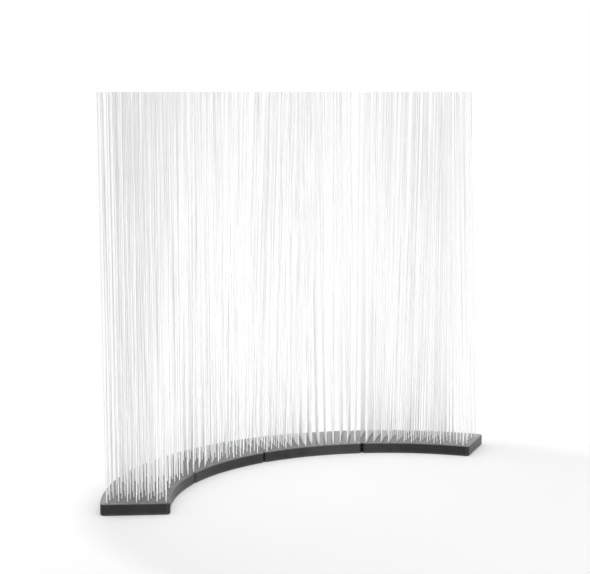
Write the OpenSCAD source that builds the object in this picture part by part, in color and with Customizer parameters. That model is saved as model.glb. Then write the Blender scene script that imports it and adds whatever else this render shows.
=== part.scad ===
// Stick room divider: equal curved rubber blocks stand end to end in an arc, and each one
// carries a field of thin upright sticks, planted in blind bores and free at the top.
// +Z is up, the floor is at z = 0, and the hollow side of the arc faces -Y.
// Angles along the arc are taken from +Y, positive towards +X.

/* [Base blocks] */
// Radius of the hollow side of the arc
inner_r = 1040; // [700:10:3000]
// Width of a block across the arc
block_w = 300; // [150:5:500]
// Height of a block
block_h = 50; // [35:1:100]
// Angle of the arc that one block covers
block_angle = 29.25; // [12:0.25:40]
// Number of blocks that stand end to end
block_count = 4; // [1:1:4]
// Radius of a block's upright corners
corner_r = 20; // [6:1:30]
// Rounding of a block's top edges
edge_r = 3; // [1:0.5:5]
// Rounding of a block's bottom edges
foot_r = 6; // [1:0.5:8]
// Rubber left under each bore
bore_floor = 10; // [4:1:20]

/* [Sticks] */
// Diameter of a stick
stick_d = 5; // [4:0.5:10]
// Length of a stick
stick_l = 1790; // [900:10:2400]
// Chamfer on both cut ends of a stick
stick_chamfer = 0.5; // [0.2:0.1:1]
// Clearance between a stick and its bore
stick_fit = 0.1; // [0.05:0.05:0.5]

/* [Grid of bores] */
// Spacing of the square grid
grid_pitch = 40; // [30:1:70]
// Turn of the grid against the arc
grid_turn = 17; // [0:1:45]
// Shift of the grid along the arc
grid_along = 14; // [0:1:40]
// Shift of the grid across the arc
grid_across = 13; // [0:1:40]
// Least distance from the middle of a bore to an edge of its block
rim = 16; // [12:1:40]

/* [Lean] */
// How far the tops drift together along the arc
drift_along = 44; // [0:1:60]
// Length of one wave of that drift
wave_along = 760; // [500:10:2000]
// Where the tops drift most to the right, along the arc from its middle
crest_along = 90; // [-400:10:400]
// How far the tops drift together away from the hollow side, and back
drift_across = 28; // [0:1:40]
// Length of one wave of that drift
wave_across = 2200; // [1000:10:4000]
// Where the tops drift most away from the hollow side, along the arc from its middle
crest_across = -850; // [-1200:10:1200]
// Turn of the waves against the arc
wave_turn = 20; // [0:1:45]
// Room kept between two tops across a seam of the base
seam_room = 1; // [0.5:0.5:5]
// Seed of each stick's own lean
lean_seed = 7; // [1:1:99]

/* [Hidden] */
$fn = 48;
arc_fn = 720;
// Steps of each rounded edge
edge_steps = 4;
// Step between a corner post and the faces it joins, so that no two curved faces run together
setback = 0.05;
// How far a cut runs past what it cuts
over = 2;

outer_r = inner_r + block_w;
mid_r = inner_r + block_w / 2;
half_angle = block_angle / 2;
bore_r = stick_d / 2 + stick_fit;
// Distance from the arc's axis to the middle of a corner post, on the inner and the outer side
post_in = sqrt(pow(inner_r + corner_r, 2) - pow(corner_r, 2));
post_out = sqrt(pow(outer_r - corner_r, 2) - pow(corner_r, 2));

// Number of grid steps that is sure to reach past the ends of a block
reach = ceil((mid_r * block_angle * PI / 180 + block_w) / grid_pitch);

// A point at a radius and an angle of the arc, and the direction along the arc there
function polar(r, a) = [r * sin(a), r * cos(a)];
function along(a) = [cos(a), -sin(a)];

function block_turn(m) = (m - (block_count - 1) / 2) * block_angle;

// Place of a grid cell in its block: [radius, angle from the middle of the block]
function cell_place(i, j) = [
    inner_r + grid_across + grid_pitch * (j * cos(grid_turn) - i * sin(grid_turn)),
    (grid_along + grid_pitch * (i * cos(grid_turn) + j * sin(grid_turn))) / mid_r * 180 / PI
];
// Distance from a place to the nearer end of its block
function to_end(p) = p[0] * sin(half_angle - abs(p[1]));
function holds_stick(p) =
    p[0] >= inner_r + rim && p[0] <= outer_r - rim
    && abs(p[1]) < half_angle && to_end(p) >= rim;

// The cells of one row of the grid that carry a stick, and the rows that have any
function row_cells(j) = [for (i = [-reach : reach]) if (holds_stick(cell_place(i, j))) [i, j]];
rows = [for (j = [-reach : reach]) if (len(row_cells(j)) > 0) j];

// Each block's own random numbers, two for each cell
side = 2 * reach + 1;
rolls = [for (m = [0 : block_count - 1]) rands(0, 1, 2 * side * side, lean_seed + m)];
function roll(m, c, n) = rolls[m][2 * ((c[0] + reach) * side + c[1] + reach) + n];

// How far the top of a stick at a place moves along and across the arc with its neighbours' tops
function wave(m, p, length, crest) = let (
    arc_way = mid_r * (block_turn(m) + p[1]) * PI / 180
) cos(360 * (arc_way + (p[0] - mid_r) * tan(wave_turn) - crest) / length);
function drift(m, p) = kept(m, p, [
    drift_along * wave(m, p, wave_along, crest_along),
    drift_across * wave(m, p, wave_across, crest_across)
]);

// At a seam between blocks a top stays over its own block, and so clear of the next one's sticks
function at_seam(m, way) = (way < 0 && m > 0) || (way > 0 && m < block_count - 1);
function kept(m, p, shift) = let (
    way = sign(p[1]),
    room = to_end(p) - stick_d / 2 - seam_room / 2
) at_seam(m, way) ? [way * min(way * shift[0], room), shift[1]] : shift;

// A place as seen from above, after a move along and across the arc
function moved(m, p, shift) = let (a = block_turn(m) + p[1])
    polar(p[0] + shift[1], a) + shift[0] * along(a);

// The gap between a drifted top and its nearest neighbour. Each of the two leans by at most half
// of it for its own part, so that they never touch.
steps = [for (i = [-1 : 1], j = [-1 : 1]) if (i != 0 || j != 0) [i, j]];
function top_gap(m, c) = let (
    p = cell_place(c[0], c[1]),
    here = moved(m, p, drift(m, p)),
    around = [for (step = steps) cell_place(c[0] + step[0], c[1] + step[1])]
) min([grid_pitch, for (q = around) if (holds_stick(q)) norm(moved(m, q, drift(m, q)) - here)]) - stick_d;
function own_lean(m, c) = top_gap(m, c) / 2 * sqrt(roll(m, c, 0)) * polar(1, 360 * roll(m, c, 1));

// A stick's foot as seen from above, and the way from there to its top
function foot(m, c) = moved(m, cell_place(c[0], c[1]), [0, 0]);
function to_top(m, c) = let (
    p = cell_place(c[0], c[1]),
    shift = kept(m, p, drift(m, p) + own_lean(m, c))
) moved(m, p, shift) - foot(m, c);

// The outline reaches in Y from an inner corner at the arc's end to the outer side, or to the
// tops that lean out past it, and its middle lies on the Z axis
end_angle = block_count * half_angle;
near_y = post_in * cos(end_angle) + corner_r * sin(end_angle) - corner_r;
tops_y = [for (m = [0 : block_count - 1], j = rows, c = row_cells(j)) foot(m, c)[1] + to_top(m, c)[1]];
centre_y = (near_y + max(outer_r, max(tops_y) + stick_d / 2)) / 2;

// A quarter of a circle in a section, from an angle on
function rounding(x, z, r, from) = [
    for (k = [0 : edge_steps]) let (a = from + 90 * k / edge_steps) [x + r * cos(a), z + r * sin(a)]
];
// An upright face of a block in section, at x = 0, with its bottom and top edges rounded
function face_profile(low, top) = concat(
    rounding(-foot_r, low + foot_r, foot_r, -90),
    rounding(-edge_r, top - edge_r, edge_r, 0)
);

// Section of a block across the arc
module block_section() {
    face = face_profile(0, block_h);
    polygon(concat(
        [for (p = face) [outer_r + p[0], p[1]]],
        [for (k = [len(face) - 1 : -1 : 0]) [inner_r - face[k][0], face[k][1]]]
    ));
}

// An upright post that rounds one corner of a block, set back all over from the faces it joins
module corner_post() {
    r = corner_r - setback;
    top = block_h - setback;
    face = face_profile(setback, top);
    rotate_extrude() polygon([[0, setback], for (p = face) [r + p[0], p[1]], [0, top]]);
}

// The last stretch of a block: a straight bar along its end face, with a post at each corner
module block_end(way) {
    inward = -corner_r - over;
    section = [[inward, 0], each face_profile(0, block_h), [inward, block_h]];
    rotate([0, 0, -way * half_angle]) {
        translate([0, post_out, 0])
            rotate([90, 0, 0])
                linear_extrude(post_out - post_in) polygon([for (p = section) [way * p[0], p[1]]]);
        for (y = [post_in, post_out]) translate([-way * corner_r, y, 0]) corner_post();
    }
}

// One moulded block before it is bored, with its middle on +Y
module block_body() {
    margin = corner_r + over;
    difference() {
        rotate([0, 0, 90 - half_angle])
            rotate_extrude(angle = block_angle, $fn = arc_fn) block_section();
        for (way = [-1, 1])
            rotate([0, 0, -way * half_angle])
                translate([way > 0 ? -corner_r : -over, inner_r - margin, -over])
                    cube([margin, block_w + 2 * margin, block_h + 2 * over]);
    }
    for (way = [-1, 1]) block_end(way);
}

// Puts what stands on the origin at the foot of a stick's bore, with that stick's lean
module planted(m, c) {
    way = to_top(m, c);
    translate([each foot(m, c), bore_floor])
        rotate(asin(norm(way) / stick_l), [-way[1], way[0], 0]) children();
}

module base_block(m) {
    color("#3b3c3e")
        translate([0, -centre_y, 0])
            difference() {
                rotate([0, 0, -block_turn(m)]) block_body();
                for (j = rows, c = row_cells(j)) planted(m, c) cylinder(r = bore_r, h = block_h);
            }
}

// A straight stick that stands on the origin, both ends cut square and chamfered
module stick() {
    r = stick_d / 2;
    tip = r - stick_chamfer;
    rotate_extrude()
        polygon([
            [0, 0], [tip, 0], [r, stick_chamfer],
            [r, stick_l - stick_chamfer], [tip, stick_l], [0, stick_l]
        ]);
}

// The sticks of one row of a block, each flat on the floor of its bore
module stick_row(m, j) {
    color("#eef0f0")
        translate([0, -centre_y, 0])
            for (c = row_cells(j)) planted(m, c) stick();
}

function block_name(m) = str("base_block_", m + 1);
function row_name(m, k) = str("block_", m + 1, "_stick_row_", k < 9 ? "0" : "", k + 1);

for (m = [0 : block_count - 1]) {
    base_block(m);
    for (k = [0 : len(rows) - 1])
        stick_row(m, rows[k]);
}
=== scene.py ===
import math

import bmesh
import bpy
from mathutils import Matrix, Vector

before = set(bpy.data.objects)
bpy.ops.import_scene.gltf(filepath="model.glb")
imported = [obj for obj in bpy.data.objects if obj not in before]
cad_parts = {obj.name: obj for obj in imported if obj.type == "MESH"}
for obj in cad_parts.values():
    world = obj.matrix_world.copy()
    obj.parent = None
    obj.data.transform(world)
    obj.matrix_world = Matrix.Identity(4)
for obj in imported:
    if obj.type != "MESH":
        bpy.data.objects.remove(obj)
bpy.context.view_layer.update()  # four rubber blocks and the rows of sticks planted in them
print("frame loaded:", len(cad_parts), "nodes")


def hexToLinear(code):
    parts = [int(code[i:i + 2], 16) / 255 for i in (1, 3, 5)]
    lin = [p / 12.92 if p <= 0.04045 else ((p + 0.055) / 1.055) ** 2.4 for p in parts]
    return (*lin, 1.0)


def perMm(size):
    # a texture on Object coordinates has one feature about every 1/scale metres
    return 1000.0 / size


def mmToMetres(size):
    return size / 1000.0


def addNode(tree, kind, settings=None, sockets=None):
    # a socket takes a plain value or the output of an earlier node
    node = tree.nodes.new(kind)
    for name, value in (settings or {}).items():
        setattr(node, name, value)
    for key, value in (sockets or {}).items():
        if isinstance(value, bpy.types.NodeSocket):
            tree.links.new(value, node.inputs[key])
        else:
            node.inputs[key].default_value = value
    return node


def newMaterial(name):
    mat = bpy.data.materials.new(name)
    mat.use_nodes = True
    mat.node_tree.nodes.clear()
    return mat, mat.node_tree


# a Mix node's colour sockets go by number, since its other kinds of socket have the same names
colourMix = {"data_type": "RGBA"}
share, under, over = 0, 6, 7
mixed = 2


# Moulded rubber: a dense black compound pressed in a fine-grained steel mould. It is matt
# face on, turns pale where it is seen at a low angle, and shows dust on top and rubbed edges.
# Round each stick's foot the dust is left off by ambient occlusion, which paints a ring of shade
# there.
mouldedRubber = {
    "colour": "#181819",
    "paleColour": "#222323",
    "dustColour": "#8c8d8d",
    "rubbedColour": "#5c5d5e",
    "ior": 1.38,
    "roughness": (0.33, 0.42),
    "mottleMm": 45,
    "speckMm": 3.5,
    "speckShare": 0.35,
    "dustShare": (0.3, 0.64),  # between the patches of dust, and in them
    "footShadeRingMm": 16,  # how far the painted shade ring round a stick's foot reaches; the dust is left off inside it
    "edgeWear": 0.85,
    "scuffTopMm": 14,
    "wavesMm": 70,
    "wavesDepthMm": 4,
    "grainMm": 2.6,  # the real mould grain is about 0.3 mm, drawn coarser so that it shows
    "grainDepthMm": 0.8,
}


def makeRubber(look):
    mat, tree = newMaterial("mouldedRubber")
    coords = addNode(tree, "ShaderNodeTexCoord")
    here = coords.outputs["Object"]
    facing = addNode(tree, "ShaderNodeSeparateXYZ", sockets={0: coords.outputs["Normal"]})
    place = addNode(tree, "ShaderNodeSeparateXYZ", sockets={0: here})

    mottle = addNode(tree, "ShaderNodeTexNoise", sockets={
        "Vector": here, "Scale": perMm(look["mottleMm"]), "Detail": 4.0, "Roughness": 0.6})
    grain = addNode(tree, "ShaderNodeTexNoise", sockets={
        "Vector": here, "Scale": perMm(look["grainMm"]), "Detail": 3.0, "Roughness": 0.7})
    speck = addNode(tree, "ShaderNodeTexVoronoi", sockets={
        "Vector": here, "Scale": perMm(look["speckMm"]), "Randomness": 1.0})
    waves = addNode(tree, "ShaderNodeTexNoise", sockets={
        "Vector": here, "Scale": perMm(look["wavesMm"]), "Detail": 2.0})

    # base tone: slow mottling of the compound with small paler specks
    tone = addNode(tree, "ShaderNodeMapRange", sockets={
        "Value": mottle.outputs["Fac"], "From Min": 0.35, "From Max": 0.68})
    base = addNode(tree, "ShaderNodeMix", colourMix, {
        share: tone.outputs["Result"],
        under: hexToLinear(look["colour"]), over: hexToLinear(look["paleColour"])})
    specks = addNode(tree, "ShaderNodeMapRange", sockets={
        "Value": speck.outputs["Distance"], "From Min": 0.22, "From Max": 0.05,
        "To Max": look["speckShare"]})
    speckled = addNode(tree, "ShaderNodeMix", colourMix, {
        share: specks.outputs["Result"],
        under: base.outputs[mixed], over: hexToLinear(look["rubbedColour"])})

    # dust lies on what faces up, thicker in the patches of the mottling; it is left off round
    # each stick's foot, which paints a dark ring of shade there (painted shade)
    upward = addNode(tree, "ShaderNodeMapRange", sockets={
        "Value": facing.outputs["Z"], "From Min": 0.9, "From Max": 1.0})
    thin, thick = look["dustShare"]
    patches = addNode(tree, "ShaderNodeMapRange", sockets={
        "Value": mottle.outputs["Fac"], "From Min": 0.3, "From Max": 0.75,
        "To Min": thin, "To Max": thick})
    # painted shade: ambient occlusion near a stick takes the dust away, so the rubber darkens in
    # a ring at its foot
    clear = addNode(tree, "ShaderNodeAmbientOcclusion", {"samples": 8}, {
        "Distance": mmToMetres(look["footShadeRingMm"])})
    outsideFootShade = addNode(tree, "ShaderNodeMapRange", sockets={
        "Value": clear.outputs["AO"], "From Min": 0.86, "From Max": 0.98})
    settled = addNode(tree, "ShaderNodeMath", {"operation": "MULTIPLY"}, {
        0: upward.outputs["Result"], 1: patches.outputs["Result"]})
    dustWithFootShade = addNode(tree, "ShaderNodeMath", {"operation": "MULTIPLY"}, {
        0: settled.outputs["Value"], 1: outsideFootShade.outputs["Result"]})
    # dust on the top, with the painted shade ring round each stick's foot
    dustyWithFootShade = addNode(tree, "ShaderNodeMix", colourMix, {
        share: dustWithFootShade.outputs["Value"],
        under: speckled.outputs[mixed], over: hexToLinear(look["dustColour"])})

    # a rounded edge is where the normal lies between level and upright; only top edges are rubbed
    slant = addNode(tree, "ShaderNodeMath", {"operation": "PINGPONG"}, {
        0: facing.outputs["Z"], 1: 0.5})
    above = addNode(tree, "ShaderNodeMath", {"operation": "GREATER_THAN"}, {
        0: facing.outputs["Z"], 1: 0.0})
    turned = addNode(tree, "ShaderNodeMapRange", sockets={
        "Value": slant.outputs["Value"], "From Min": 0.02, "From Max": 0.2,
        "To Max": look["edgeWear"]})
    rubbed = addNode(tree, "ShaderNodeMath", {"operation": "MULTIPLY"}, {
        0: above.outputs["Value"], 1: turned.outputs["Result"]})
    edged = addNode(tree, "ShaderNodeMix", colourMix, {
        share: rubbed.outputs["Value"],
        under: dustyWithFootShade.outputs[mixed], over: hexToLinear(look["rubbedColour"])})

    # scuffs along the foot, where the floor has marked the sides
    foot = addNode(tree, "ShaderNodeMapRange", sockets={
        "Value": place.outputs["Z"], "From Min": mmToMetres(look["scuffTopMm"]), "From Max": 0.0})
    marks = addNode(tree, "ShaderNodeMath", {"operation": "MULTIPLY"}, {
        0: foot.outputs["Result"], 1: patches.outputs["Result"]})
    scuffed = addNode(tree, "ShaderNodeMix", colourMix, {
        share: marks.outputs["Value"],
        under: edged.outputs[mixed], over: hexToLinear(look["rubbedColour"])})

    smooth, rough = look["roughness"]
    gloss = addNode(tree, "ShaderNodeMapRange", sockets={
        "Value": mottle.outputs["Fac"], "From Min": 0.3, "From Max": 0.7,
        "To Min": smooth, "To Max": rough})
    swell = addNode(tree, "ShaderNodeBump", sockets={
        "Strength": 0.25, "Distance": mmToMetres(look["wavesDepthMm"]),
        "Height": waves.outputs["Fac"]})
    pores = addNode(tree, "ShaderNodeBump", sockets={
        "Strength": 0.35, "Distance": mmToMetres(look["grainDepthMm"]),
        "Height": grain.outputs["Fac"], "Normal": swell.outputs["Normal"]})
    shader = addNode(tree, "ShaderNodeBsdfPrincipled", sockets={
        "Base Color": scuffed.outputs[mixed], "Roughness": gloss.outputs["Result"],
        "IOR": look["ior"], "Normal": pores.outputs["Normal"]})
    addNode(tree, "ShaderNodeOutputMaterial", sockets={"Surface": shader.outputs["BSDF"]})
    return mat


# Pultruded glass-fibre rod: white polyester resin drawn through a die with its glass strands.
# The strands run lengthwise, as faint pale and grey streaks under a smooth skin.
glassFibreRod = {
    "colour": "#fdfdfd",
    "streakColour": "#f2f2f2",
    "batchColour": "#e9eaea",  # some rods come from a greyer batch
    "cutColour": "#efede6",
    "ior": 1.54,
    "roughness": (0.2, 0.34),
    "cutRoughness": 0.5,  # added to the skin's own on the sawn ends
    "streakMm": (1.6, 220),  # strands are finer, drawn at a third of the rod's width to show
    "streakShare": 0.6,
    "ridgeDepthMm": 0.4,
    "batchMm": (16, 2500),
}


def makeRod(look):
    mat, tree = newMaterial("pultrudedGlassFibre")
    coords = addNode(tree, "ShaderNodeTexCoord")
    here = coords.outputs["Object"]
    facing = addNode(tree, "ShaderNodeSeparateXYZ", sockets={0: coords.outputs["Normal"]})

    across, lengthwise = look["streakMm"]
    drawn = addNode(tree, "ShaderNodeMapping", sockets={
        "Vector": here, "Scale": (perMm(across), perMm(across), perMm(lengthwise))})
    streak = addNode(tree, "ShaderNodeTexNoise", sockets={
        "Vector": drawn.outputs["Vector"], "Scale": 1.0, "Detail": 3.0, "Roughness": 0.6})
    across, lengthwise = look["batchMm"]
    spread = addNode(tree, "ShaderNodeMapping", sockets={
        "Vector": here, "Scale": (perMm(across), perMm(across), perMm(lengthwise))})
    batch = addNode(tree, "ShaderNodeTexNoise", sockets={
        "Vector": spread.outputs["Vector"], "Scale": 1.0, "Detail": 1.0})

    strands = addNode(tree, "ShaderNodeMapRange", sockets={
        "Value": streak.outputs["Fac"], "From Min": 0.4, "From Max": 0.7,
        "To Max": look["streakShare"]})
    greyer = addNode(tree, "ShaderNodeMapRange", sockets={
        "Value": batch.outputs["Fac"], "From Min": 0.5, "From Max": 0.68})
    streaked = addNode(tree, "ShaderNodeMix", colourMix, {
        share: strands.outputs["Result"],
        under: hexToLinear(look["colour"]), over: hexToLinear(look["streakColour"])})
    skin = addNode(tree, "ShaderNodeMix", colourMix, {
        share: greyer.outputs["Result"],
        under: streaked.outputs[mixed], over: hexToLinear(look["batchColour"])})

    # the sawn ends are matt, with the strands cut across
    sawn = addNode(tree, "ShaderNodeMapRange", sockets={
        "Value": facing.outputs["Z"], "From Min": 0.5, "From Max": 0.9})
    ended = addNode(tree, "ShaderNodeMix", colourMix, {
        share: sawn.outputs["Result"],
        under: skin.outputs[mixed], over: hexToLinear(look["cutColour"])})

    smooth, rough = look["roughness"]
    gloss = addNode(tree, "ShaderNodeMapRange", sockets={
        "Value": streak.outputs["Fac"], "From Min": 0.35, "From Max": 0.7,
        "To Min": smooth, "To Max": rough})
    dull = addNode(tree, "ShaderNodeMath", {"operation": "MULTIPLY_ADD", "use_clamp": True}, {
        0: sawn.outputs["Result"], 1: look["cutRoughness"], 2: gloss.outputs["Result"]})
    ridges = addNode(tree, "ShaderNodeBump", sockets={
        "Strength": 0.2, "Distance": mmToMetres(look["ridgeDepthMm"]),
        "Height": streak.outputs["Fac"]})
    shader = addNode(tree, "ShaderNodeBsdfPrincipled", sockets={
        "Base Color": ended.outputs[mixed], "Roughness": dull.outputs["Value"],
        "IOR": look["ior"], "Normal": ridges.outputs["Normal"]})
    addNode(tree, "ShaderNodeOutputMaterial", sockets={"Surface": shader.outputs["BSDF"]})
    return mat


rubber = makeRubber(mouldedRubber)
rod = makeRod(glassFibreRod)
for name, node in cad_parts.items():
    node.data.materials.clear()
    node.data.materials.append(rubber if name.startswith("base_block") else rod)
print("materials on the blocks and sticks")


# Paper floor: it turns pure white just behind the arc and slowly in front of it
paperFloor = {
    "colour": "#fafafa",
    "radius": 8.0,
    "sides": 96,
    "glow": 0.15,  # how far the floor that isn't white is lifted for the lens
    "arcMiddle": (0.0, -0.945, 0.0),
    "outerFade": (1.26, 1.5),  # from the arc's middle, as far as the back fade lets it
    "backFade": (-2.1, -0.5),  # in Y, from the front towards the back
    "farFade": (1.2, 2.6),  # from the arc's middle, all round
}


def lensRay(tree):
    # 1 where the lens sees a thing, itself or mirrored, and 0 where it only sends light on
    ray = addNode(tree, "ShaderNodeLightPath")
    direct = addNode(tree, "ShaderNodeMath", {"operation": "MAXIMUM"}, {
        0: ray.outputs["Is Camera Ray"], 1: ray.outputs["Is Glossy Ray"]})
    seen = addNode(tree, "ShaderNodeMath", {"operation": "MAXIMUM"}, {
        0: direct.outputs["Value"], 1: ray.outputs["Is Transmission Ray"]})
    return seen.outputs["Value"]


def makeFloor(look):
    mat, tree = newMaterial("paperFloor")
    coords = addNode(tree, "ShaderNodeTexCoord")
    place = addNode(tree, "ShaderNodeSeparateXYZ", sockets={0: coords.outputs["Object"]})
    away = addNode(tree, "ShaderNodeVectorMath", {"operation": "DISTANCE"}, {
        0: coords.outputs["Object"], 1: look["arcMiddle"]})

    measures = {
        "outerFade": away.outputs["Value"],
        "farFade": away.outputs["Value"],
        "backFade": place.outputs["Y"],
    }
    fades = {}
    for name, measure in measures.items():
        start, end = look[name]
        fade = addNode(tree, "ShaderNodeMapRange", {"interpolation_type": "SMOOTHSTEP"}, {
            "Value": measure, "From Min": start, "From Max": end})
        fades[name] = fade.outputs["Result"]
    behind = addNode(tree, "ShaderNodeMath", {"operation": "MULTIPLY"}, {
        0: fades["outerFade"], 1: fades["backFade"]})
    white = addNode(tree, "ShaderNodeMath", {"operation": "MAXIMUM"}, {
        0: behind.outputs["Value"], 1: fades["farFade"]})
    glowing = addNode(tree, "ShaderNodeMapRange", sockets={
        "Value": white.outputs["Value"], "To Min": look["glow"]})
    lift = addNode(tree, "ShaderNodeMath", {"operation": "MULTIPLY"}, {
        0: lensRay(tree), 1: glowing.outputs["Result"]})

    paper = addNode(tree, "ShaderNodeBsdfDiffuse", sockets={"Color": hexToLinear(look["colour"])})
    glow = addNode(tree, "ShaderNodeEmission", sockets={"Strength": 1.0})
    both = addNode(tree, "ShaderNodeMixShader", sockets={
        0: lift.outputs["Value"], 1: paper.outputs["BSDF"], 2: glow.outputs["Emission"]})
    addNode(tree, "ShaderNodeOutputMaterial", sockets={"Surface": both.outputs["Shader"]})

    mesh = bpy.data.meshes.new("floor")
    bm = bmesh.new()
    bmesh.ops.create_circle(bm, cap_ends=True, segments=look["sides"], radius=look["radius"])
    bm.to_mesh(mesh)
    bm.free()
    mesh.materials.append(mat)
    floor = bpy.data.objects.new("floor", mesh)
    bpy.context.scene.collection.objects.link(floor)


makeFloor(paperFloor)
print("floor")


# Studio light: an even sky and five softboxes. A honeycomb keeps the light of the front one
# and of the low strip on the middle blocks.
skyLight = {"strength": 0.52, "seenStrength": 1.0}
softboxes = {
    "overhead": {
        "place": (0.2, -1.2, 8.0), "aim": (0.0, -0.4, 0.0),
        "width": 7.0, "height": 7.0, "spreadDegrees": 180, "watts": 265},
    "side": {
        "place": (7.0, -3.0, 1.5), "aim": (0.0, 0.0, 0.8),
        "width": 5.0, "height": 3.4, "spreadDegrees": 180, "watts": 60},
    "behind": {
        "place": (3.4, 4.4, 1.5), "aim": (0.0, 0.0, 0.9),
        "width": 5.0, "height": 2.4, "spreadDegrees": 180, "watts": 44},
    "front": {
        "place": (0.0, -4.6, 1.15), "aim": (0.0, 0.3, 1.2),
        "width": 1.8, "height": 1.4, "spreadDegrees": 45, "watts": 6.4},
    "strip": {
        "place": (-0.3, -4.0, 0.2), "aim": (-0.2, 0.2, 0.0),
        "width": 2.4, "height": 0.3, "spreadDegrees": 45, "watts": 4.4},
}


def makeSky(look):
    world = bpy.data.worlds.new("studio")
    bpy.context.scene.world = world
    world.use_nodes = True
    tree = world.node_tree
    tree.nodes.clear()
    level = addNode(tree, "ShaderNodeMapRange", sockets={
        "Value": lensRay(tree), "To Min": look["strength"], "To Max": look["seenStrength"]})
    sky = addNode(tree, "ShaderNodeBackground", sockets={
        "Color": (1.0, 1.0, 1.0, 1.0), "Strength": level.outputs["Result"]})
    addNode(tree, "ShaderNodeOutputWorld", sockets={"Surface": sky.outputs["Background"]})


def makeSoftbox(name, look):
    lamp = bpy.data.lights.new(name, "AREA")
    lamp.shape = "RECTANGLE"
    lamp.size = look["width"]
    lamp.size_y = look["height"]
    lamp.spread = math.radians(look["spreadDegrees"])
    lamp.energy = look["watts"]
    box = bpy.data.objects.new(name, lamp)
    bpy.context.scene.collection.objects.link(box)
    box.visible_camera = False
    box.location = look["place"]
    away = Vector(look["place"]) - Vector(look["aim"])
    box.rotation_euler = away.to_track_quat("Z", "Y").to_euler()


makeSky(skyLight)
for name, look in softboxes.items():
    makeSoftbox(name, look)
print("light")


# The photograph's view: the lens is level with the tops of the sticks, which all lie on
# the horizon. Pixels are counted in the photograph's own frame.
photoView = {
    "frameWidth": 590,
    "frameHeight": 574,
    "focalLength": 1539.2,
    "axisColumn": 235,  # where the lens axis meets the frame
    "axisRow": 190,
    "horizonRow": 92,
    "lensPlace": (-4.491, -5.776, 1.8),
    "turnDegrees": 36.28,
}


def makeCamera(look):
    data = bpy.data.cameras.new("photoView")
    camera = bpy.data.objects.new("photoView", data)
    bpy.context.scene.collection.objects.link(camera)
    width = look["frameWidth"]
    data.lens = data.sensor_width * look["focalLength"] / width
    data.shift_x = (width / 2 - look["axisColumn"]) / width
    data.shift_y = (look["axisRow"] - look["frameHeight"] / 2) / width
    droop = math.atan((look["axisRow"] - look["horizonRow"]) / look["focalLength"])
    camera.location = look["lensPlace"]
    camera.rotation_euler = (math.radians(90) - droop, 0.0, -math.radians(look["turnDegrees"]))
    bpy.context.scene.camera = camera


makeCamera(photoView)
bpy.context.scene.view_settings.view_transform = "Standard"
bpy.context.scene.cycles.diffuse_bounces = 12  # light passes on many times among white rods
print("camera at the photograph's view")
